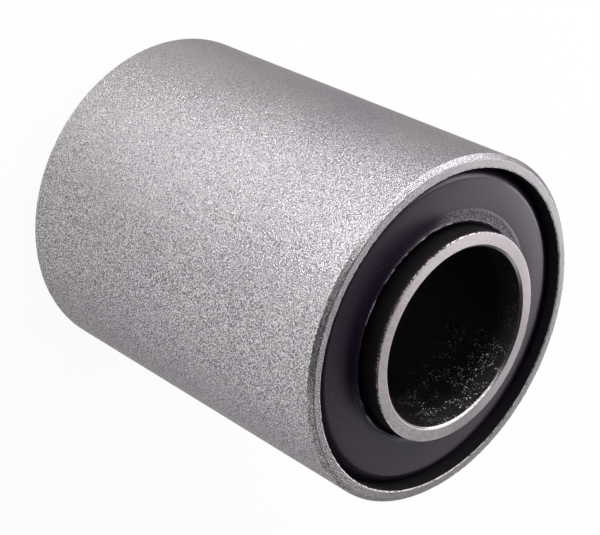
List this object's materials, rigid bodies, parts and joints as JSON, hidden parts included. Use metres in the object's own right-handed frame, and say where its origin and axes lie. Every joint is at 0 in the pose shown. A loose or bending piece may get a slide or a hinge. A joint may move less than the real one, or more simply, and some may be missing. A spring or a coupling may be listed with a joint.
{
  "type": "rubber metal bush",
  "caption": "Cylindrical rubber metal bush: a rubber element bonded between an outer steel sleeve and a longer inner steel sleeve with a through bore.",
  "frame": {"origin": "centre of the inner sleeve's lower end face, on the surface that the bush stands on", "axes": "+Z along the bore axis, upwards from one end of the bush to the other; X and Y across it, with no preferred direction"},
  "size_m": [0.06, 0.06, 0.077],
  "materials": {
    "blasted_steel": "matt blasted grey, fine grain, black film inside the ends",
    "bonded_rubber": "moulded black rubber, soft sheen",
    "machined_steel": "faced bright ends, dark bonding film on the outside, dark oiled bore"
  },
  "bodies": {
    "root": {"outer_sleeve": "blasted_steel", "rubber_element": "bonded_rubber", "inner_sleeve": "machined_steel"}
  },
  "joints": []
}
